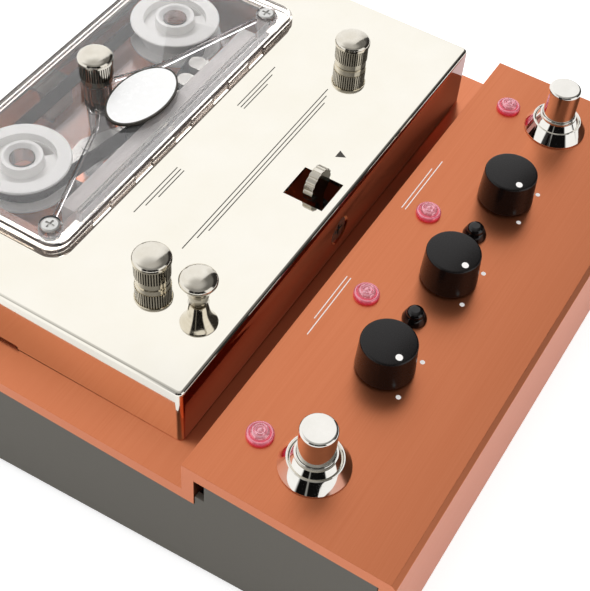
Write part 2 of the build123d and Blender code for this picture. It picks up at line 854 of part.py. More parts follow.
def band(circles, inner, outer, low, high, name):
    """A taut band round some wheels, between two distances off their rims."""
    ring = loop_outline(circles, outer) - loop_outline(circles, inner)
    with BuildPart() as piece:
        with BuildSketch(level(low)):
            add(ring)
        extrude(amount=high - low)
    finish(piece, name)


belt_wheels = [(0, capstan_y, flywheel_r - groove), (*motor, pulley_r - groove)]
band(belt_wheels, running, 1.5, belt_low, belt_top, "drive_belt")

with BuildPart() as pinch_arm:
    with BuildSketch(level(arm_low)):
        with BuildLine():
            outline = [((0, roller_y), 3.6), (arm_pivot, 4.6), (arm_tail, 3.0)]
            for centre, radius in outline:
                CenterArc(centre, radius, 0, 360)
        make_hull()
        with Locations(arm_pivot):
            Circle(1.9 + running, mode=Mode.SUBTRACT)
    extrude(amount=arm_thick)
    with BuildSketch(level(arm_low + arm_thick, 0, roller_y)):
        Circle(1.2)
    extrude(amount=10.3 - arm_low - arm_thick)
    with BuildSketch(level(arm_low, *arm_tail)):
        Circle(1.2)
    extrude(amount=slide_low - 0.4 - arm_low)
finish(pinch_arm, "pinch_arm")

with BuildPart() as pinch_roller:
    spin_profile(
        upright(0, roller_y),
        [(1.2 + running, 2.6), (3.0, 2.6), (3.0, 3.2), (roller_r, 3.2), (roller_r, 9.9), (3.0, 9.9),
         (3.0, 10.2), (1.2 + running, 10.2)],
    )
finish(pinch_roller, "pinch_roller")

# ---- cassette -----------------------------------------------------------------------------
cassette_middle = (cassette_front + cassette_back) / 2
cassette_depth = cassette_back - cassette_front
well_middle = (well_front + well_back) / 2
spindle_r = 3.96
boss_r = 3.6
shelf_back = 77.1
shelf_top = 10.9
mouth_left = -16
mouth_right = 34
notch_pitch = 21.4

with BuildPart() as cassette_base:
    with BuildSketch(level(deck_top)):
        with Locations((0, cassette_middle)):
            RectangleRounded(2 * cassette_half, cassette_depth, cassette_corner)
    extrude(amount=flange_top - deck_top)
    with BuildSketch(level(well_low)):
        with Locations((0, well_middle)):
            RectangleRounded(2 * well_half, well_back - well_front, 4.0)
    extrude(amount=deck_top - well_low)
    with BuildSketch(level(cavity_floor)):
        with Locations((0, well_middle)):
            RectangleRounded(2 * (well_half - clear_wall), well_back - well_front - 2 * clear_wall, 2.6)
    extrude(amount=flange_top - cavity_floor, mode=Mode.SUBTRACT)
    with BuildSketch(level(cavity_floor)):
        with Locations((0, (well_front + shelf_back) / 2 + 0.2)):
            Rectangle(100, shelf_back - well_front - 0.4)
    extrude(amount=shelf_top - cavity_floor)
    with BuildSketch(level(well_low)):
        with Locations((0, (well_front + shelf_back) / 2)):
            Rectangle(100 - 2 * clear_wall, shelf_back - well_front - 2 * clear_wall)
    extrude(amount=shelf_top - clear_wall - well_low, mode=Mode.SUBTRACT)
    with BuildSketch(level(cavity_floor)):
        with Locations(*boss_spots):
            Circle(boss_r)
        with Locations(hold_down):
            Circle(4.6)
    extrude(amount=flange_top - cavity_floor)
    with BuildSketch(level(cavity_floor)):
        with Locations((-spool_x, spool_y), (spool_x, spool_y)):
            Circle(spindle_r)
    extrude(amount=11.2 - cavity_floor)
    with BuildSketch(level(well_low)):
        with Locations(((mouth_left + mouth_right) / 2, (well_front + clear_wall + 84.8) / 2)):
            Rectangle(mouth_right - mouth_left, 84.8 - well_front - clear_wall)
        with Locations((0, roller_y), (0.5, roller_y + 1.4), (1.0, roller_y + 2.7)):
            Circle(roller_r + 0.8)
    extrude(amount=shelf_top - clear_wall - well_low, mode=Mode.SUBTRACT)
    with BuildSketch(level(flange_top)):
        with Locations(*boss_spots):
            Circle(1.2)
    extrude(amount=-8, mode=Mode.SUBTRACT)
    with BuildSketch(level(flange_top)):
        with Locations(hold_down):
            Circle(2.3)
    extrude(amount=-flange_top, mode=Mode.SUBTRACT)
    with BuildSketch(level(deck_top)):
        for step in range(-2, 3):
            with Locations((step * notch_pitch - 2.6, cassette_front)):
                Rectangle(9, 1.6)
    extrude(amount=flange_top - deck_top, mode=Mode.SUBTRACT)
finish(cassette_base, "cassette_base")

with BuildPart() as cassette_lid:
    with BuildSketch(level(flange_top)):
        with Locations((0, cassette_middle)):
            RectangleRounded(2 * lid_half, cassette_depth - 0.6, cassette_corner - gap)
    extrude(amount=lid_top - flange_top)
    fillet(cassette_lid.faces().sort_by(off_panel)[-1].edges(), 0.5)
    for side in (-1, 1):
        with BuildSketch(level(flange_top)):
            with BuildLine() as brace:
                Polyline((side * (boss_x - 4.1), 75), (side * 18, 87.6), (hold_down[0] + side * 4.2, 96.5))
            trace(brace.line, 1.0)
        extrude(amount=-1.3)
    with BuildSketch(level(lid_top)):
        with Locations(*boss_spots):
            Circle(3.2)
    extrude(amount=-1.0, mode=Mode.SUBTRACT)
    with BuildSketch(level(lid_top)):
        with Locations(*boss_spots):
            Circle(1.3)
        with Locations(hold_down):
            Circle(2.3)
    extrude(amount=flange_top - lid_top, mode=Mode.SUBTRACT)
finish(cassette_lid, "cassette_lid")

with BuildPart() as cassette_screws:
    for x, y in boss_spots:
        spin_profile(
            upright(x, y),
            [(0, 5), (1.15, 5), (1.15, lid_top - 1), (3.0, lid_top - 1), (3.0, lid_top - 0.5),
             (2.4, lid_top - 0.1), (0, lid_top)],
        )
        with BuildSketch(level(lid_top - 0.6, x, y)):
            Rectangle(3.2, 0.7)
            Rectangle(0.7, 3.2)
        extrude(amount=1, mode=Mode.SUBTRACT)
finish(cassette_screws, "cassette_screws")

spool_low = cavity_floor + 0.5
spool_top = 10.9
tape_top = tape_low + tape_width

for name, side in (("left", -1), ("right", 1)):
    with BuildPart() as spool:
        bore = spindle_r + running
        spin_profile(
            upright(side * spool_x, spool_y),
            [(bore, spool_low), (15.6, spool_low), (15.6, tape_low - 0.1), (drum_r, tape_low - 0.1),
             (drum_r, tape_top + 0.1), (15.0, tape_top + 0.1), (15.3, tape_top + 0.4),
             (15.3, spool_top - 0.3), (15.0, spool_top), (10.7, spool_top), (10.5, 8.4), (6.8, 8.4),
             (6.6, 12.0), (5.5, 12.0), (bore, 10.6)],
        )
        with BuildSketch(level(8.4, side * spool_x, spool_y)):
            with PolarLocations(0, 3, start_angle=25):
                with BuildLine():
                    inner_end = 27
                    outer_end = 31
                    CenterArc((0, 0), 7.3, -inner_end, 2 * inner_end)
                    CenterArc((0, 0), 10.0, -outer_end, 2 * outer_end)
                    for turn in (-1, 1):
                        Line(
                            (7.3 * cos(radians(inner_end)), turn * 7.3 * sin(radians(inner_end))),
                            (10.0 * cos(radians(outer_end)), turn * 10.0 * sin(radians(outer_end))),
                        )
                make_face()
        extrude(amount=spool_low - 8.4, mode=Mode.SUBTRACT)
    finish(spool, f"{name}_spool")

tape_wheels = [(-spool_x, spool_y, drum_r), (spool_x, spool_y, drum_r), (0, roller_y, roller_r)]
band(tape_wheels, gap, gap + tape_thick, tape_low, tape_top, "tape_loop")

label_half = 15.25
label_reach = 9.25
label_thick = 1.0

with BuildPart() as cassette_label:
    with BuildSketch(level(lid_top)):
        with Locations((0, 83.2)):
            Ellipse(label_half, label_reach)
    extrude(amount=label_thick)
finish(cassette_label, "cassette_label")

print("origin of the panel:", tuple(round(value, 3) for value in panel.origin))
print("panel normal:", tuple(round(value, 5) for value in panel.z_dir))
print("tape passes x = 10 at y =", round(tape_front(10), 3))
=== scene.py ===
import json
from math import cos, pi, radians, sin

import bmesh
import bpy
from mathutils import Matrix, Vector


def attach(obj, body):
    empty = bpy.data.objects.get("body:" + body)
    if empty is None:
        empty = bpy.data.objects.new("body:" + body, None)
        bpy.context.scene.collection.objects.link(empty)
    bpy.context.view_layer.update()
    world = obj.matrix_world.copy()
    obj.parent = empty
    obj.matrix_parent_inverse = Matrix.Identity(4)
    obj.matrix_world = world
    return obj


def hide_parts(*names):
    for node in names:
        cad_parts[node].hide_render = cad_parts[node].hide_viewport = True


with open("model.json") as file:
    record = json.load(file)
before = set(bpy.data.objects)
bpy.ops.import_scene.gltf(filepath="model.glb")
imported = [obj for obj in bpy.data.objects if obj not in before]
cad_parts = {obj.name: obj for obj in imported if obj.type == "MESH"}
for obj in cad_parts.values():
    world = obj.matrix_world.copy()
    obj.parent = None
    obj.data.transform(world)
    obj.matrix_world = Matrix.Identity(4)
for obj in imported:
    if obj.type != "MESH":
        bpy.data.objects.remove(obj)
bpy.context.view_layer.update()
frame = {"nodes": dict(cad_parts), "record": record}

SLOT = {row["node"]: row["material_slot"] for row in frame["record"]["subparts"]}
BODY = {node: body for body, nodes in frame["record"]["behaviour"]["bodies"].items() for node in nodes}

# The strip, the ledge and the deck lie parallel to one leaning plane, the panel. Its x runs to the
# right, its y to the back from the strip's rear edge, and its z off it, in millimetres.
LEAN = radians(5.38)
PANEL = Matrix.Translation((0, -0.036308, 0.05706)) @ Matrix.Rotation(LEAN, 4, "X")
MM = Matrix.Scale(0.001, 4)

# Heights above the panel.
DECK = 10.74
LID_SEAT = 13.9              # where the hold-down screw's head rests
LABEL_FOOT = 13.97           # a hair above the cassette's lid

# Rows across the panel, as y, and what stands in them, as x.
CONTROL_ROW = -29.8
BUTTON_ROW = -28.7
LAMP_ROW = -12.5
SCREW_ROW = 38.4
KNOBS = {"level": (-40, -126), "feedback": (0, -122), "time": (40, -133)}    # x, heading in degrees
SWITCHES = {"bypass": -79.2, "tap": 79.2}
BUTTONS = {"short": -20, "long": 20}
LAMPS = (-79.2, -20, 20, 79.2)
DECK_SCREWS = {"left_thumb_screw": -57.2, "right_thumb_screw": 57.2}

# Single places on the panel, as x and y.
HOLD_DOWN = (-1, 100.3)
RELEASE = (-57.2, 22.5)
LABEL = (0, 83.2)
ARROW = (16.7, 18.8)


def at(x, y, z=0.0):
    """A shift by some millimetres."""
    return Matrix.Translation((x, y, z))


def over(x=0.0, y=0.0, z=0.0, turn=0.0):
    """From a piece's own millimetres to its place on the panel."""
    return PANEL @ MM @ at(x, y, z) @ Matrix.Rotation(radians(turn), 4, "Z")


# ---- camera -------------------------------------------------------------------------------
# It looks down on the near left corner; its place, in metres, and its axes are the panel's own.
right = Vector((0.5203, -0.8521, 0.0566)).normalized()
up = Vector((0.6446, 0.4353, 0.6285))
up = (up - right * up.dot(right)).normalized()
back = right.cross(up)
eye = Matrix.Translation((-0.2432, -0.1044, 0.2922)) @ Matrix((right, up, back)).transposed().to_4x4()

camera = bpy.data.objects.new("camera", bpy.data.cameras.new("camera"))
bpy.context.scene.collection.objects.link(camera)
camera.data.lens = 77.3
camera.data.clip_start = 0.01
camera.matrix_world = PANEL @ eye
bpy.context.scene.camera = camera
bpy.context.scene.view_settings.view_transform = "Standard"


# ---- materials ----------------------------------------------------------------------------
NOISE_FROM, NOISE_TO = 0.25, 0.75    # a noise seldom leaves this span
WHITE = (1, 1, 1, 1)


def shade(code):
    """A colour written as sRGB hex, turned to linear."""
    channels = [int(code[place:place + 2], 16) / 255 for place in (1, 3, 5)]
    return [c / 12.92 if c <= 0.04045 else ((c + 0.055) / 1.055) ** 2.4 for c in channels] + [1.0]


def add(tree, kind, inputs=None, stops=(), **settings):
    """Adds a node, sets what it says, and sets or links its inputs."""
    made = tree.nodes.new(kind)
    for name, value in settings.items():
        setattr(made, name, value)
    for place, (position, colour) in enumerate(stops):
        if place > 1:
            made.color_ramp.elements.new(position)
        made.color_ramp.elements[place].position = position
        made.color_ramp.elements[place].color = shade(colour)
    for socket, value in (inputs or {}).items():
        if isinstance(value, bpy.types.NodeSocket):
            tree.links.new(value, made.inputs[socket])
        else:
            made.inputs[socket].default_value = value
    return made


def material(name):
    """An empty material and the tree that its nodes go in."""
    made = bpy.data.materials.new(name)
    made.use_nodes = True
    made.node_tree.nodes.clear()
    return made, made.node_tree


def worn(tree, size, colours, rough, bump=0.0, stretch=(1, 1, 1), **surface):
    """A surface whose colour, roughness and relief follow one noise of a real size in metres.

    Stretch makes the noise longer along the panel's x, y and z.
    """
    coords = add(tree, "ShaderNodeTexCoord")
    turned = add(tree, "ShaderNodeMapping", {
        "Vector": coords.outputs["Object"], "Rotation": (-LEAN, 0, 0),
        "Scale": [1 / (size * along) for along in stretch],
    })
    noise = add(tree, "ShaderNodeTexNoise", {"Vector": turned.outputs[0], "Scale": 1.0, "Detail": 4.0})
    colour = add(
        tree, "ShaderNodeValToRGB", {"Fac": noise.outputs["Fac"]},
        stops=zip((NOISE_FROM, NOISE_TO), colours),
    )
    roughness = add(tree, "ShaderNodeMapRange", {
        "Value": noise.outputs["Fac"], "From Min": NOISE_FROM, "From Max": NOISE_TO,
        "To Min": rough[0], "To Max": rough[1],
    })
    inputs = {"Base Color": colour.outputs[0], "Roughness": roughness.outputs[0]}
    if bump:
        relief = add(tree, "ShaderNodeBump", {
            "Height": noise.outputs["Fac"], "Strength": bump, "Distance": size,
        })
        inputs["Normal"] = relief.outputs[0]
    inputs.update(surface)
    body = add(tree, "ShaderNodeBsdfPrincipled", inputs)
    add(tree, "ShaderNodeOutputMaterial", {"Surface": body.outputs[0]})


finishes = {}

# Copper-tinted anodised aluminium, brushed along its length: fine straight scratches 0.1 mm wide and
# a few centimetres long, so highlights smear across them, over slow tone changes of the dye.
finishes["copper"], tree = material("brushed_copper_anodised")
coords = add(tree, "ShaderNodeTexCoord")
strokes = []
for width, length in ((0.00011, 0.02), (0.0004, 0.05)):
    turned = add(tree, "ShaderNodeMapping", {
        "Vector": coords.outputs["Object"], "Rotation": (-LEAN, 0, 0),
        "Scale": (1 / length, 1 / width, 1 / width),
    })
    strokes.append(add(tree, "ShaderNodeTexNoise", {
        "Vector": turned.outputs[0], "Scale": 1.0, "Detail": 2.0, "Roughness": 0.5,
    }))
both = add(
    tree, "ShaderNodeMath", {0: strokes[0].outputs["Fac"], 1: strokes[1].outputs["Fac"]}, operation="ADD",
)
brushed = add(tree, "ShaderNodeMath", {0: both.outputs[0], 1: 0.5}, operation="MULTIPLY")
dye = add(tree, "ShaderNodeValToRGB", {"Fac": brushed.outputs[0]}, stops=[
    (0.2, "#DE8259"), (0.8, "#E68F66"),
])
sheen = add(tree, "ShaderNodeMapRange", {
    "Value": brushed.outputs[0], "From Min": NOISE_FROM, "From Max": NOISE_TO,
    "To Min": 0.38, "To Max": 0.34,
})
relief = add(tree, "ShaderNodeBump", {"Height": brushed.outputs[0], "Strength": 0.02, "Distance": 0.0001})
metal = add(tree, "ShaderNodeBsdfPrincipled", {
    "Base Color": dye.outputs[0], "Metallic": 1.0, "Roughness": sheen.outputs[0],
    "Normal": relief.outputs[0],
})
add(tree, "ShaderNodeOutputMaterial", {"Surface": metal.outputs[0]})

# Polished nickel plate: a warm mirror whose very faint waves are a few centimetres long.
finishes["nickel"], tree = material("polished_nickel_plate")
worn(tree, 0.02, ("#F4EFE2", "#F8F4EA"), (0.03, 0.06), Metallic=1.0)

# The same plate on the deck's front wall, given a red, dim colour: a painted reflection of the copper that
# it faces.
nickel_painted_copper_reflection, tree = material("nickel_plate_with_painted_copper_reflection")
worn(tree, 0.02, ("#AE7A74", "#B48079"), (0.03, 0.06), Metallic=1.0)

# Chrome plate on the foot switches and their nuts: a cooler, harder mirror.
finishes["chrome"], tree = material("chrome_plate")
worn(tree, 0.004, ("#EBE8E1", "#F3F0EA"), (0.02, 0.05), Metallic=1.0)

# Powder-coated steel tray: dark warm grey with a fine pebble of 0.4 mm.
finishes["tray_paint"], tree = material("powder_coat_grey")
worn(tree, 0.0004, ("#57534B", "#605C53"), (0.5, 0.62), bump=0.15)

# Zinc-plated steel: greyish, with the soft clouds of the plating bath.
finishes["steel"], tree = material("zinc_plated_steel")
worn(tree, 0.003, ("#8B8985", "#A3A19D"), (0.32, 0.46), Metallic=1.0)

# Bright zinc on the small screws that hold the cassette together: paler and more matt.
pale_zinc, tree = material("bright_zinc_plate")
worn(tree, 0.001, ("#E2E1DE", "#F0EFED"), (0.4, 0.5), Metallic=1.0)

# Turned and polished alloy of the hand screws: bright, with faint turning rings.
finishes["turned_alloy"], tree = material("polished_turned_alloy")
worn(tree, 0.0006, ("#DDD6C8", "#E9E4D9"), (0.1, 0.16), Metallic=1.0, stretch=(8, 8, 1))

# Grooves of the screws' knurl: the same alloy, dull, and darkened with painted shade in the grooves.
knurl_groove_painted_shade, tree = material("knurled_alloy_painted_groove_shade")
worn(tree, 0.0006, ("#4A4136", "#5E5447"), (0.5, 0.6), Metallic=1.0)

# Moulded black knob, satin: a fine spark-eroded grain of 0.18 mm.
finishes["black_knob"], tree = material("satin_black_abs")
worn(tree, 0.00018, ("#0C0808", "#110C0B"), (0.22, 0.3), bump=0.03, **{"Specular IOR Level": 0.36})

# Gloss black plastic of buttons and sockets: an even skin with slow flow marks.
finishes["black_plastic"], tree = material("gloss_black_abs")
worn(tree, 0.002, ("#080606", "#0D0A0A"), (0.07, 0.14))

# Black rubber of feet, belt and pinch roller: matte, with a dusty bloom.
finishes["rubber"], tree = material("black_rubber")
worn(tree, 0.0008, ("#131212", "#1F1E1D"), (0.7, 0.85), bump=0.1)

# Circuit board: green solder mask over a woven glass core.
finishes["board"], tree = material("green_solder_mask")
worn(tree, 0.001, ("#0D3A22", "#16502F"), (0.3, 0.45), bump=0.05)

# Turned brass of bearing, flywheel and pulley: soft gold, with faint turning rings.
finishes["brass"], tree = material("turned_brass")
worn(tree, 0.0006, ("#B78F4A", "#CFA962"), (0.18, 0.3), Metallic=1.0, stretch=(8, 8, 1))

# Magnetic coating on the tape: dark brown-grey, smooth, with streaks along the tape's run.
finishes["tape_oxide"], tree = material("magnetic_oxide_tape")
worn(tree, 0.0015, ("#231F1D", "#2F2A27"), (0.5, 0.6), stretch=(10, 10, 0.4), **{"Specular IOR Level": 0.25})

# Injection-moulded white acetal of the spools: bright satin with barely seen flow marks.
finishes["white_plastic"], tree = material("white_acetal")
worn(tree, 0.003, ("#F2F1EF", "#F9F8F6"), (0.3, 0.4))

# Self-adhesive label: smooth white paper under a thin laminate.
finishes["label_paper"], tree = material("laminated_paper")
worn(tree, 0.002, ("#F8F8F7", "#FCFCFB"), (0.22, 0.3))

# Black printing ink of the label's border and the deck's marks: thin, slightly uneven cover.
ink, tree = material("black_printing_ink")
worn(tree, 0.0005, ("#2C2823", "#47423A"), (0.4, 0.55))

# White screen-printing ink on the strip and the knobs: a matt, opaque film.
white_ink, tree = material("white_screen_print")
worn(tree, 0.0004, ("#FBF6F2", "#FFFDFB"), (0.4, 0.5))


def acrylic(name, tint, clouds, haze, shine):
    """See-through acrylic that lets lamps through to what it holds; haze is its milky share.

    Clouds is the size of its unevenness in metres. The IOR is low, as thin walls bend little.
    """
    made, tree = material(name)
    coords = add(tree, "ShaderNodeTexCoord")
    noise = add(tree, "ShaderNodeTexNoise", {"Vector": coords.outputs["Object"], "Scale": 1 / clouds})
    clean = add(tree, "ShaderNodeMapRange", {
        "Value": noise.outputs["Fac"], "From Min": 0.3, "From Max": 0.7,
        "To Min": shine[0], "To Max": shine[1],
    })
    glass = add(tree, "ShaderNodeBsdfPrincipled", {
        "Base Color": shade(tint), "Roughness": clean.outputs[0], "IOR": 1.36,
        "Transmission Weight": 1 - haze,
    })
    through = add(tree, "ShaderNodeBsdfTransparent", {"Color": WHITE})
    rays = add(tree, "ShaderNodeLightPath")
    mixed = add(tree, "ShaderNodeMixShader", {
        0: rays.outputs["Is Shadow Ray"], 1: glass.outputs[0], 2: through.outputs[0],
    })
    add(tree, "ShaderNodeOutputMaterial", {"Surface": mixed.outputs[0]})
    return made


# Clear acrylic of the cassette: polished faces with the faint unevenness of a moulding.
finishes["clear_plastic"] = acrylic("clear_acrylic", "#FEFDFD", 0.03, 0.01, (0.0, 0.02))

# The same acrylic where it is left matt: the shelf at the front and the screws' posts.
matt_acrylic = acrylic("matt_clear_acrylic", "#E6E0DE", 0.03, 0.5, (0.3, 0.4))

# Its upright edges, where one looks along the depth of the plate: half clear, with a warm, darker tint that
# is painted shade and a painted reflection of the copper.
edge_acrylic_painted_shade = acrylic("clear_acrylic_edge_painted_shade", "#BBA8A2", 0.02, 0.15, (0.18, 0.28))

# Tinted lamp lens: pressed rings of pink-red acrylic, lit from below by its diode, whose red glow shows at
# its foot, and backed by the diode's bright cup. Its colour runs from deep red at the foot to pale pink at
# the crown: painted diode glow below and a painted reflection of the room on the crown.
finishes["lamp_red"], tree = material("pink_lens_acrylic")
coords = add(tree, "ShaderNodeTexCoord")
upright = add(tree, "ShaderNodeMapping", {
    "Vector": coords.outputs["Object"], "Location": PANEL.inverted().to_translation(),
    "Rotation": (-LEAN, 0, 0),
})
height = add(tree, "ShaderNodeSeparateXYZ", {0: upright.outputs[0]})
rise = add(tree, "ShaderNodeMapRange", {
    "Value": height.outputs["Z"], "From Min": 0.0002, "From Max": 0.0026, "To Min": 0.0, "To Max": 1.0,
})
noise = add(tree, "ShaderNodeTexNoise", {"Vector": coords.outputs["Object"], "Scale": 900.0, "Detail": 2.0})
uneven = add(tree, "ShaderNodeMath", {
    0: noise.outputs["Fac"], 1: 0.2, 2: rise.outputs[0],
}, operation="MULTIPLY_ADD")
# Deep red low down and pale at the crown: painted glow and painted reflection over the lens's pink.
pink = add(tree, "ShaderNodeValToRGB", {"Fac": uneven.outputs[0]}, stops=[
    (0.1, "#EC4A6C"), (0.45, "#F49DB4"), (0.8, "#FBCAD6"),
])
glow = add(tree, "ShaderNodeMapRange", {"Value": rise.outputs[0], "To Min": 0.16, "To Max": 0.02})
lens = add(tree, "ShaderNodeBsdfPrincipled", {
    "Base Color": pink.outputs[0], "Roughness": 0.1, "IOR": 1.49, "Metallic": 0.35,
    "Transmission Weight": 0.5, "Emission Color": shade("#FF3A55"), "Emission Strength": glow.outputs[0],
})
add(tree, "ShaderNodeOutputMaterial", {"Surface": lens.outputs[0]})

for node, slot in SLOT.items():
    for place in frame["nodes"][node].material_slots:
        place.material = pale_zinc if node == "cassette_screws" else finishes[slot]


# ---- making pieces ------------------------------------------------------------------------
INK = 0.03                   # how proud a printed mark stands, in millimetres


def lathe(*profile, steps=96):
    """A turned form from radius and height pairs in millimetres."""
    bm = bmesh.new()
    verts = [bm.verts.new((radius, 0, height)) for radius, height in profile]
    edges = [bm.edges.new(pair) for pair in zip(verts, verts[1:])]
    bmesh.ops.spin(
        bm, geom=verts + edges, axis=(0, 0, 1), cent=(0, 0, 0), angle=2 * pi, steps=steps, use_merge=True,
    )
    bmesh.ops.remove_doubles(bm, verts=bm.verts, dist=0.0005)
    bmesh.ops.recalc_face_normals(bm, faces=bm.faces)
    return bm


def dot(radius):
    """A round printed mark."""
    return lathe((0, 0), (radius, 0), (radius, INK), (0, INK), steps=32)


def rule(x_from, x_to, y, width):
    """A printed line along x."""
    bm = bmesh.new()
    bmesh.ops.create_cube(bm, size=1.0)
    bmesh.ops.scale(bm, vec=(x_to - x_from, width, INK), verts=bm.verts)
    bmesh.ops.translate(bm, vec=((x_from + x_to) / 2, y, INK / 2), verts=bm.verts)
    return bm


def flat_shape(corners, radius):
    """A flat polygon with its corners on a circle round the origin."""
    bm = bmesh.new()
    bmesh.ops.create_circle(bm, cap_ends=True, radius=radius, segments=corners)
    return bm


def raise_into_plate(bm, thick):
    """Pulls a flat shape up by some millimetres, so that it becomes a closed plate."""
    risen = bmesh.ops.extrude_face_region(bm, geom=bm.faces[:])
    top = [part for part in risen["geom"] if isinstance(part, bmesh.types.BMVert)]
    bmesh.ops.translate(bm, vec=(0, 0, thick), verts=top)
    bmesh.ops.recalc_face_normals(bm, faces=bm.faces)


def joined(*parts):
    """One bmesh from several, each with the place it goes to."""
    whole = bmesh.new()
    for part, place in parts:
        part.transform(place)
        spare = bpy.data.meshes.new("spare")
        part.to_mesh(spare)
        part.free()
        whole.from_mesh(spare)
        bpy.data.meshes.remove(spare)
    return whole


def turned_row(profile, spots, row):
    """The same turned form at several places of a row."""
    return joined(*[(lathe(*profile), at(x, row)) for x in spots])


def piece(bm, name, finish, body, stands_for=(), place=None, edge=0.0, corner=35, steps=2):
    """Makes the finished object, breaks its edges by some millimetres, and hangs it on its body."""
    if place is not None:
        bm.transform(place)
    mesh = bpy.data.meshes.new(name)
    bm.to_mesh(mesh)
    bm.free()
    made = bpy.data.objects.new(name, mesh)
    bpy.context.scene.collection.objects.link(made)
    for each in finish if isinstance(finish, list) else [finish]:
        mesh.materials.append(each)
    mesh.shade_smooth()
    mesh.set_sharp_from_angle(angle=radians(corner))
    if edge:
        broken = made.modifiers.new("broken_edges", "BEVEL")
        broken.width = edge / 1000
        broken.segments = steps
        broken.limit_method = "ANGLE"
        broken.angle_limit = radians(corner)
        broken.harden_normals = True
    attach(made, body)
    if stands_for:
        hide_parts(*stands_for)


def eased(node, edge, shift=0.0, gap=0.0, others=()):
    """A copy of a node's own form with its edges broken.

    Shift raises it all, and gap takes that much off its foot, both in millimetres. Others are
    further finishes, each with a test that says which faces it covers.
    """
    bm = bmesh.new()
    bm.from_mesh(frame["nodes"][node].data)
    bm.transform(over().inverted())
    bmesh.ops.remove_doubles(bm, verts=bm.verts, dist=0.001)
    bmesh.ops.dissolve_limit(bm, angle_limit=radians(0.5), verts=bm.verts, edges=bm.edges)
    bmesh.ops.recalc_face_normals(bm, faces=bm.faces)
    bmesh.ops.translate(bm, vec=(0, 0, shift), verts=bm.verts)
    lowest = min(vert.co.z for vert in bm.verts)
    foot = [vert for vert in bm.verts if vert.co.z < lowest + 0.1]
    bmesh.ops.translate(bm, vec=(0, 0, gap), verts=foot)
    for index, (_, belongs) in enumerate(others, start=1):
        for face in bm.faces:
            if belongs(face.calc_center_median(), face.normal):
                face.material_index = index
    coats = [finishes[SLOT[node]]] + [finish for finish, _ in others]
    piece(bm, node + "_form", coats, BODY[node], [node], over(), edge=edge)


# ---- sheet metal and the cassette's shells ------------------------------------------------
POST_X = 59.3
POST_ROWS = (73.4, 111.1)
POST_REACH = 3.8             # from a post's middle to the outside of its wall


def on_shelf(centre, normal):
    """Faces of the cassette's front shelf and of the posts under its corner screws."""
    shelf = 69.7 < centre.y < 77.3 and abs(centre.x) < 50.5 and 1 < centre.z < 11
    off_row = min(abs(centre.y - row) for row in POST_ROWS)
    post = abs(abs(centre.x) - POST_X) < POST_REACH and off_row < POST_REACH and centre.z > 2
    return shelf or post


def rim_with_painted_shade(centre, normal):
    """Upright faces round the outside of the cassette, which take the painted edge shade."""
    outside = abs(centre.x) > 65 or not 66 < centre.y < 119
    return abs(normal.z) < 0.5 and centre.z > DECK and outside


def front_wall_with_painted_reflection(centre, normal):
    """The outer face of the deck's front wall, which takes the painted copper reflection."""
    return normal.y < -0.9 and centre.y < 20


eased("top_cover", 0.25)
eased("base_tray", 0.2)
# The deck's front wall takes the nickel with the copper's reflection painted into its colour.
eased("deck_cover", 0.15, gap=0.3, others=[(nickel_painted_copper_reflection, front_wall_with_painted_reflection)])
# Upright faces round the cassette take the acrylic whose tint holds painted shade and copper reflection.
eased("cassette_base", 0.12, others=[(matt_acrylic, on_shelf), (edge_acrylic_painted_shade, rim_with_painted_shade)])
eased("cassette_lid", 0.15, shift=0.05, others=[(edge_acrylic_painted_shade, rim_with_painted_shade)])
eased("left_spool", 0.2)
eased("right_spool", 0.2)
eased("lock_lever", 0.3)
eased("jack_nuts", 0.25)
eased("signal_jacks", 0.25)

# ---- knobs --------------------------------------------------------------------------------
KNOB_TOP = 12.5
CROWN = 0.008                # how fast a knob's top falls away, per mm of radius squared
POINTER = 6.2                # from a knob's middle to its dot


def crown_at(radius):
    """Height of a knob's slightly domed top."""
    return KNOB_TOP - CROWN * radius ** 2


crown_rings = [0.9 * step for step in range(9)] + [8.3]
knob_profile = [(radius, crown_at(radius)) for radius in crown_rings] + [
    (8.84, 0.5), (7.6, 0.5), (7.4, 9.8), (4.8, 9.8), (4.8, 4.4), (2.95, 4.4),
]
tilt = Matrix.Rotation(2 * CROWN * POINTER, 4, "Y")
for name, (x, pointer) in KNOBS.items():
    piece(
        lathe(*knob_profile), f"{name}_knob_turned", finishes["black_knob"], f"{name}_control",
        [f"{name}_knob"], over(x, CONTROL_ROW), edge=0.7, steps=4,
    )
    piece(
        dot(1.05), f"{name}_pointer_dot", white_ink, f"{name}_control",
        place=over(x, CONTROL_ROW, turn=pointer) @ at(POINTER, 0, crown_at(POINTER) + 0.005) @ tilt,
    )

# ---- foot switches ------------------------------------------------------------------------
for name, x in SWITCHES.items():
    piece(
        lathe((0, -6), (5.3, -6), (5.3, 17.9), (0, 17.9)), f"{name}_plunger_turned", finishes["chrome"],
        f"{name}_pedal", [f"{name}_plunger"], over(x, CONTROL_ROW), edge=0.9, steps=6,
    )

nut_profile = [
    (6.05, 0), (10.0, 0), (10.2, 0.2), (10.2, 0.5), (8.25, 3.88), (8.0, 4.3), (7.65, 4.3), (7.4, 3.9),
    (5.48, 7.0), (5.42, 7.0), (5.42, 6.85), (6.05, 6.85), (6.05, 0),
]
piece(
    turned_row(nut_profile, SWITCHES.values(), CONTROL_ROW), "dress_nuts_turned", finishes["chrome"],
    "chassis", ["switch_dress_nuts"], over(), edge=0.15, corner=20, steps=3,
)

# ---- push buttons and lamps ---------------------------------------------------------------
for name, x in BUTTONS.items():
    piece(
        lathe((0, -5.5), (2.78, -5.5), (2.78, 4.3), (0, 4.3)), f"{name}_button_moulded",
        finishes["black_plastic"], f"{name}_button", [f"{name}_head_button"],
        over(x, BUTTON_ROW), edge=1.72, steps=10,
    )

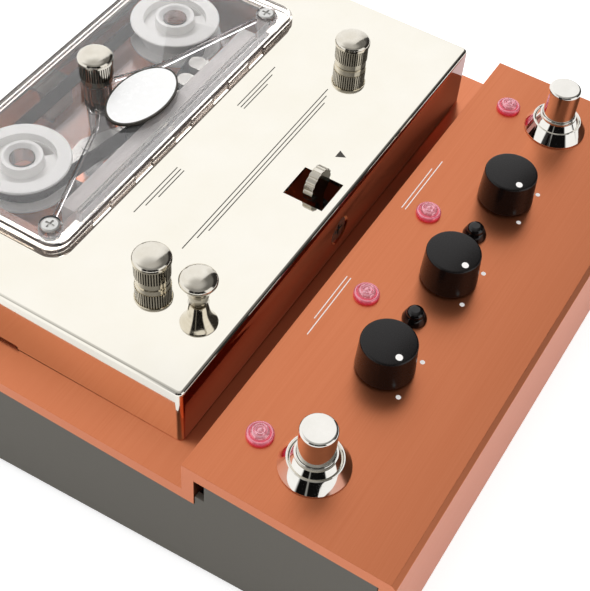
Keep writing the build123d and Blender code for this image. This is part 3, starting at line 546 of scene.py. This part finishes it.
skirt_profile = [
    (2.82, -4), (3.15, -4), (3.15, 0), (3.75, 0), (3.75, 0.6), (3.62, 1.0), (3.36, 1.6), (3.0, 2.4),
    (2.88, 2.6), (2.82, 2.6), (2.82, -4),
]
piece(
    turned_row(skirt_profile, BUTTONS.values(), BUTTON_ROW), "button_skirts_moulded",
    finishes["black_plastic"], "chassis", ["button_bezels"], over(),
)

lens_profile = [
    (0, -5), (3.15, -5), (3.15, 0), (4.0, 0), (4.0, 0.7), (3.93, 1.05), (3.72, 1.35), (3.42, 1.48),
    (3.12, 1.4), (2.95, 1.2), (2.8, 1.5), (2.6, 2.1), (2.3, 2.45), (2.0, 2.5), (1.8, 2.3), (1.6, 2.45),
    (1.4, 2.7), (1.15, 2.7), (0.95, 2.5), (0.75, 2.7), (0.5, 2.88), (0, 2.9),
]
piece(
    turned_row(lens_profile, LAMPS, LAMP_ROW), "lamp_lenses_pressed", finishes["lamp_red"], "chassis",
    ["lamp_lenses"], over(), corner=50,
)

# ---- knurled hand screws ------------------------------------------------------------------
TEETH = 44
TOOTH_TIP = 5.5
GROOVE_FLOOR = 0.91          # a groove's radius at its floor, as a share of a tooth's at its tip


def knurled_screw(node, x, y, seat):
    """A hand screw with a straight-knurled band under a smooth crowned head."""
    collar, band, crown, top = (seat + rise for rise in (0.1, 2.3, 7.9, 10.9))
    turned = lathe(
        (0, -8), (1.6, -8), (2.0, -7.4), (2.0, collar), (5.0, collar), (5.3, collar + 0.3), (5.3, band),
        (4.9, band), (4.9, crown), (5.7, crown), (5.85, crown + 0.2), (5.85, crown + 1.0),
        (5.72, crown + 1.4), (5.45, crown + 1.78), (5.05, crown + 2.08), (4.55, crown + 2.3),
        (3.6, crown + 2.58), (2.5, crown + 2.8), (1.3, crown + 2.95), (0, top),
    )
    # Each tooth has four corners, and one of them is pulled in as the groove.
    ring = flat_shape(4 * TEETH, TOOTH_TIP)
    hollow = [vert for place, vert in enumerate(ring.verts) if place % 4 == 0]
    bmesh.ops.scale(ring, vec=(GROOVE_FLOOR, GROOVE_FLOOR, 1), verts=hollow)
    raise_into_plate(ring, crown - band)
    # Faces in the grooves take the darker alloy, which is painted shade.
    for face in ring.faces:
        upright = abs(face.normal.z) < 0.5
        if upright and face.calc_center_median().xy.length < TOOTH_TIP - 0.1:
            face.material_index = 1
    piece(
        joined((turned, at(0, 0)), (ring, at(0, 0, band))), node + "_turned",
        [finishes["turned_alloy"], knurl_groove_painted_shade], BODY[node], [node], over(x, y),
    )


for node, x in DECK_SCREWS.items():
    knurled_screw(node, x, SCREW_ROW, DECK)
knurled_screw("hold_down_screw", *HOLD_DOWN, LID_SEAT)

# ---- deck release -------------------------------------------------------------------------
piece(
    lathe(
        (1.51, 5.5), (4.2, 5.5), (4.2, DECK - 1.5), (3.0, DECK - 1.5), (3.0, DECK - 0.1), (1.51, DECK - 0.1),
        (1.51, 5.5),
    ),
    "release_bushing_turned", finishes["turned_alloy"], "chassis", ["release_bushing"],
    over(*RELEASE),
)

# Radius, and height above the deck, of the waisted head.
release_head = [
    (1.45, 0.3), (2.5, 0.3), (2.6, 0.4), (3.2, 3.4), (3.25, 3.6), (3.5, 4.8), (3.9, 6.0), (4.4, 7.2),
    (5.0, 8.3), (5.45, 9.0), (5.65, 9.4), (5.62, 10.0), (5.35, 10.5), (4.9, 10.9), (4.2, 11.3),
    (3.3, 11.65), (2.2, 11.92), (1.1, 12.07), (0, 12.1),
]
piece(
    lathe(
        (0, -15.5), (1.0, -15.5), (1.45, -14.6), *[(radius, DECK + rise) for radius, rise in release_head],
    ),
    "release_knob_turned", finishes["turned_alloy"], "release_pull", ["release_knob"],
    over(*RELEASE), corner=50,
)

# ---- label --------------------------------------------------------------------------------
label = flat_shape(96, 1)
bmesh.ops.scale(label, vec=(15.25, 9.25, 1), verts=label.verts)
raise_into_plate(label, 0.92)
for face in label.faces:
    face.material_index = 1
upper = [face for face in label.faces if face.normal.z > 0.9]
bmesh.ops.inset_region(label, faces=upper, thickness=0.6, use_even_offset=True)
for face in upper:
    face.material_index = 0
piece(
    label, "cassette_label_oval", [finishes["label_paper"], ink], "cassette",
    ["cassette_label"], over(*LABEL, LABEL_FOOT),
)

# ---- printed marks ------------------------------------------------------------------------
# Each rule runs from one x to another x, along a y.
dark_rules = [
    (-43.4, 40.9, 37.7), (-37.5, 37.9, 36.4), (-33.2, 34.6, 35.2),
    (-39.6, -16.8, 57.8), (-35.4, -16.8, 56.5), (-30.4, -16.8, 55.3),
    (17.2, 40.2, 57.8), (17.2, 36.4, 56.5), (17.2, 31.6, 55.3),
]
piece(
    joined(*[(rule(*run, 0.32), at(0, 0, DECK)) for run in dark_rules]), "deck_rules", ink, "chassis",
    place=over(),
)

arrow = flat_shape(3, 2.0)
bmesh.ops.scale(arrow, vec=(0.96, 1.0, 1), verts=arrow.verts)
bmesh.ops.rotate(arrow, matrix=Matrix.Rotation(pi, 3, "Z"), verts=arrow.verts)
raise_into_plate(arrow, INK)
piece(arrow, "lock_arrow", ink, "chassis", place=over(*ARROW, DECK))

pale_rules = [(-36.4, -17.0, -4.15), (-42.6, -17.0, -5.45), (17.3, 38.3, -4.35), (17.3, 43.1, -5.65)]
piece(
    joined(*[(rule(*run, 0.3), at(0, 0)) for run in pale_rules]), "strip_rules", white_ink, "chassis",
    place=over(),
)

# A dot at each end of a knob's travel.
DOT_RING = 11.1
dots = [
    (dot(0.75), at(x + DOT_RING * cos(heading), CONTROL_ROW + DOT_RING * sin(heading)))
    for x, _ in KNOBS.values()
    for heading in (radians(-131), radians(-49))
]
piece(joined(*dots), "knob_end_dots", white_ink, "chassis", place=over())

# ---- floor --------------------------------------------------------------------------------
FLOOR_REACH = 0.7            # metres to each side; beyond it, low reflections meet the studio's walls

floor_bm = bmesh.new()
bmesh.ops.create_grid(floor_bm, x_segments=1, y_segments=1, size=FLOOR_REACH)
floor_mesh = bpy.data.meshes.new("floor")
floor_bm.to_mesh(floor_mesh)
floor_bm.free()
floor = bpy.data.objects.new("floor", floor_mesh)
bpy.context.scene.collection.objects.link(floor)

# Studio paper: matte white, lifted to pure white where camera, metal and glass look at it.
paper, tree = material("studio_paper")
rays = add(tree, "ShaderNodeLightPath")
gloss_or_glass = add(tree, "ShaderNodeMath", {
    0: rays.outputs["Is Glossy Ray"], 1: rays.outputs["Is Transmission Ray"],
}, operation="MAXIMUM")
mirrored = add(tree, "ShaderNodeMath", {0: gloss_or_glass.outputs[0], 1: 0.25}, operation="MULTIPLY")
lift = add(tree, "ShaderNodeMath", {
    0: rays.outputs["Is Camera Ray"], 1: 0.6, 2: mirrored.outputs[0],
}, operation="MULTIPLY_ADD")
matte = add(tree, "ShaderNodeBsdfDiffuse", {"Color": shade("#E6E6E6")})
lifted = add(tree, "ShaderNodeEmission", {"Color": WHITE, "Strength": lift.outputs[0]})
pale_floor = add(tree, "ShaderNodeAddShader", {0: matte.outputs[0], 1: lifted.outputs[0]})
add(tree, "ShaderNodeOutputMaterial", {"Surface": pale_floor.outputs[0]})
floor_mesh.materials.append(paper)


# ---- studio -------------------------------------------------------------------------------
def blend(tree, factor, first, second):
    """A colour between two, by a factor; returns its socket.

    A mix of colours has its factor at input 0, the two colours at 6 and 7, and gives output 2.
    """
    mix = add(tree, "ShaderNodeMix", data_type="RGBA")
    for place, value in ((0, factor), (6, first), (7, second)):
        if isinstance(value, bpy.types.NodeSocket):
            tree.links.new(value, mix.inputs[place])
        else:
            mix.inputs[place].default_value = value
    return mix.outputs[2]


# The studio round the unit, as polished metal sees it: a bright wall behind it on the right that
# reaches high, low white cards on the left and in front, black between them, and a dim ceiling.
# Each ramp runs once round the compass: low from the floor to half height, high above that.
world = bpy.data.worlds.new("studio")
bpy.context.scene.world = world
world.use_nodes = True
tree = world.node_tree
tree.nodes.clear()
heading = add(tree, "ShaderNodeTexCoord")
faced = add(tree, "ShaderNodeMapping", {"Vector": heading.outputs["Generated"], "Rotation": (0, 0, pi)})
compass = add(tree, "ShaderNodeTexGradient", {"Vector": faced.outputs[0]}, gradient_type="RADIAL")
low = add(tree, "ShaderNodeValToRGB", {"Fac": compass.outputs["Fac"]}, stops=[
    (0.0, "#D8D8D8"), (0.05, "#FFFFFF"), (0.455, "#FFFFFF"), (0.47, "#0E0D0D"), (0.528, "#0E0D0D"),
    (0.534, "#8A8986"), (0.54, "#8A8986"), (0.546, "#0E0D0D"), (0.685, "#0E0D0D"), (0.7, "#FFFFFF"),
    (0.8, "#FFFFFF"), (0.82, "#2E2C2B"), (0.94, "#2E2C2B"),
])
high = add(tree, "ShaderNodeValToRGB", {"Fac": compass.outputs["Fac"]}, stops=[
    (0.0, "#F4F4F4"), (0.04, "#FFFFFF"), (0.31, "#FFFFFF"), (0.4, "#B9B8B6"), (0.48, "#8E8D8B"),
    (0.66, "#8E8D8B"), (0.76, "#6E6D6B"), (0.92, "#6E6D6B"),
])
axes = add(tree, "ShaderNodeSeparateXYZ", {0: heading.outputs["Generated"]})
raised = add(tree, "ShaderNodeMapRange", {
    "Value": axes.outputs["Z"], "From Min": 0.52, "From Max": 0.64,
}, interpolation_type="SMOOTHSTEP")
overhead = add(tree, "ShaderNodeMapRange", {
    "Value": axes.outputs["Z"], "From Min": 0.84, "From Max": 1.0,
}, interpolation_type="SMOOTHSTEP")
walls = blend(tree, raised.outputs[0], low.outputs[0], high.outputs[0])
studio = blend(tree, overhead.outputs[0], walls, shade("#BEBDBB"))

# Metal and glass see the studio, everything else an even pale light, and the camera plain white.
rays = add(tree, "ShaderNodeLightPath")
gloss_or_glass = add(tree, "ShaderNodeMath", {
    0: rays.outputs["Is Glossy Ray"], 1: rays.outputs["Is Transmission Ray"],
}, operation="MAXIMUM")
light = blend(tree, gloss_or_glass.outputs[0], shade("#F7F7F7"), studio)
shown = blend(tree, rays.outputs["Is Camera Ray"], light, WHITE)
power = add(tree, "ShaderNodeMath", {
    0: rays.outputs["Is Glossy Ray"], 1: 0.06, 2: 1.0,
}, operation="MULTIPLY_ADD")
sky = add(tree, "ShaderNodeBackground", {"Color": shown, "Strength": power.outputs[0]})
add(tree, "ShaderNodeOutputWorld", {"Surface": sky.outputs[0]})

# One soft box, high behind the unit on its right. Metal doesn't mirror it.
key_light = bpy.data.lights.new("key", "AREA")
key_light.shape = "RECTANGLE"
key_light.size, key_light.size_y = 0.5, 0.5
key_light.energy = 2.0
key = bpy.data.objects.new("key", key_light)
bpy.context.scene.collection.objects.link(key)
key_spot = Vector((0.55, 0.5, 0.8))
key.matrix_world = Matrix.Translation(key_spot) @ key_spot.to_track_quat("Z", "Y").to_matrix().to_4x4()
key.visible_camera = False
key.visible_glossy = False
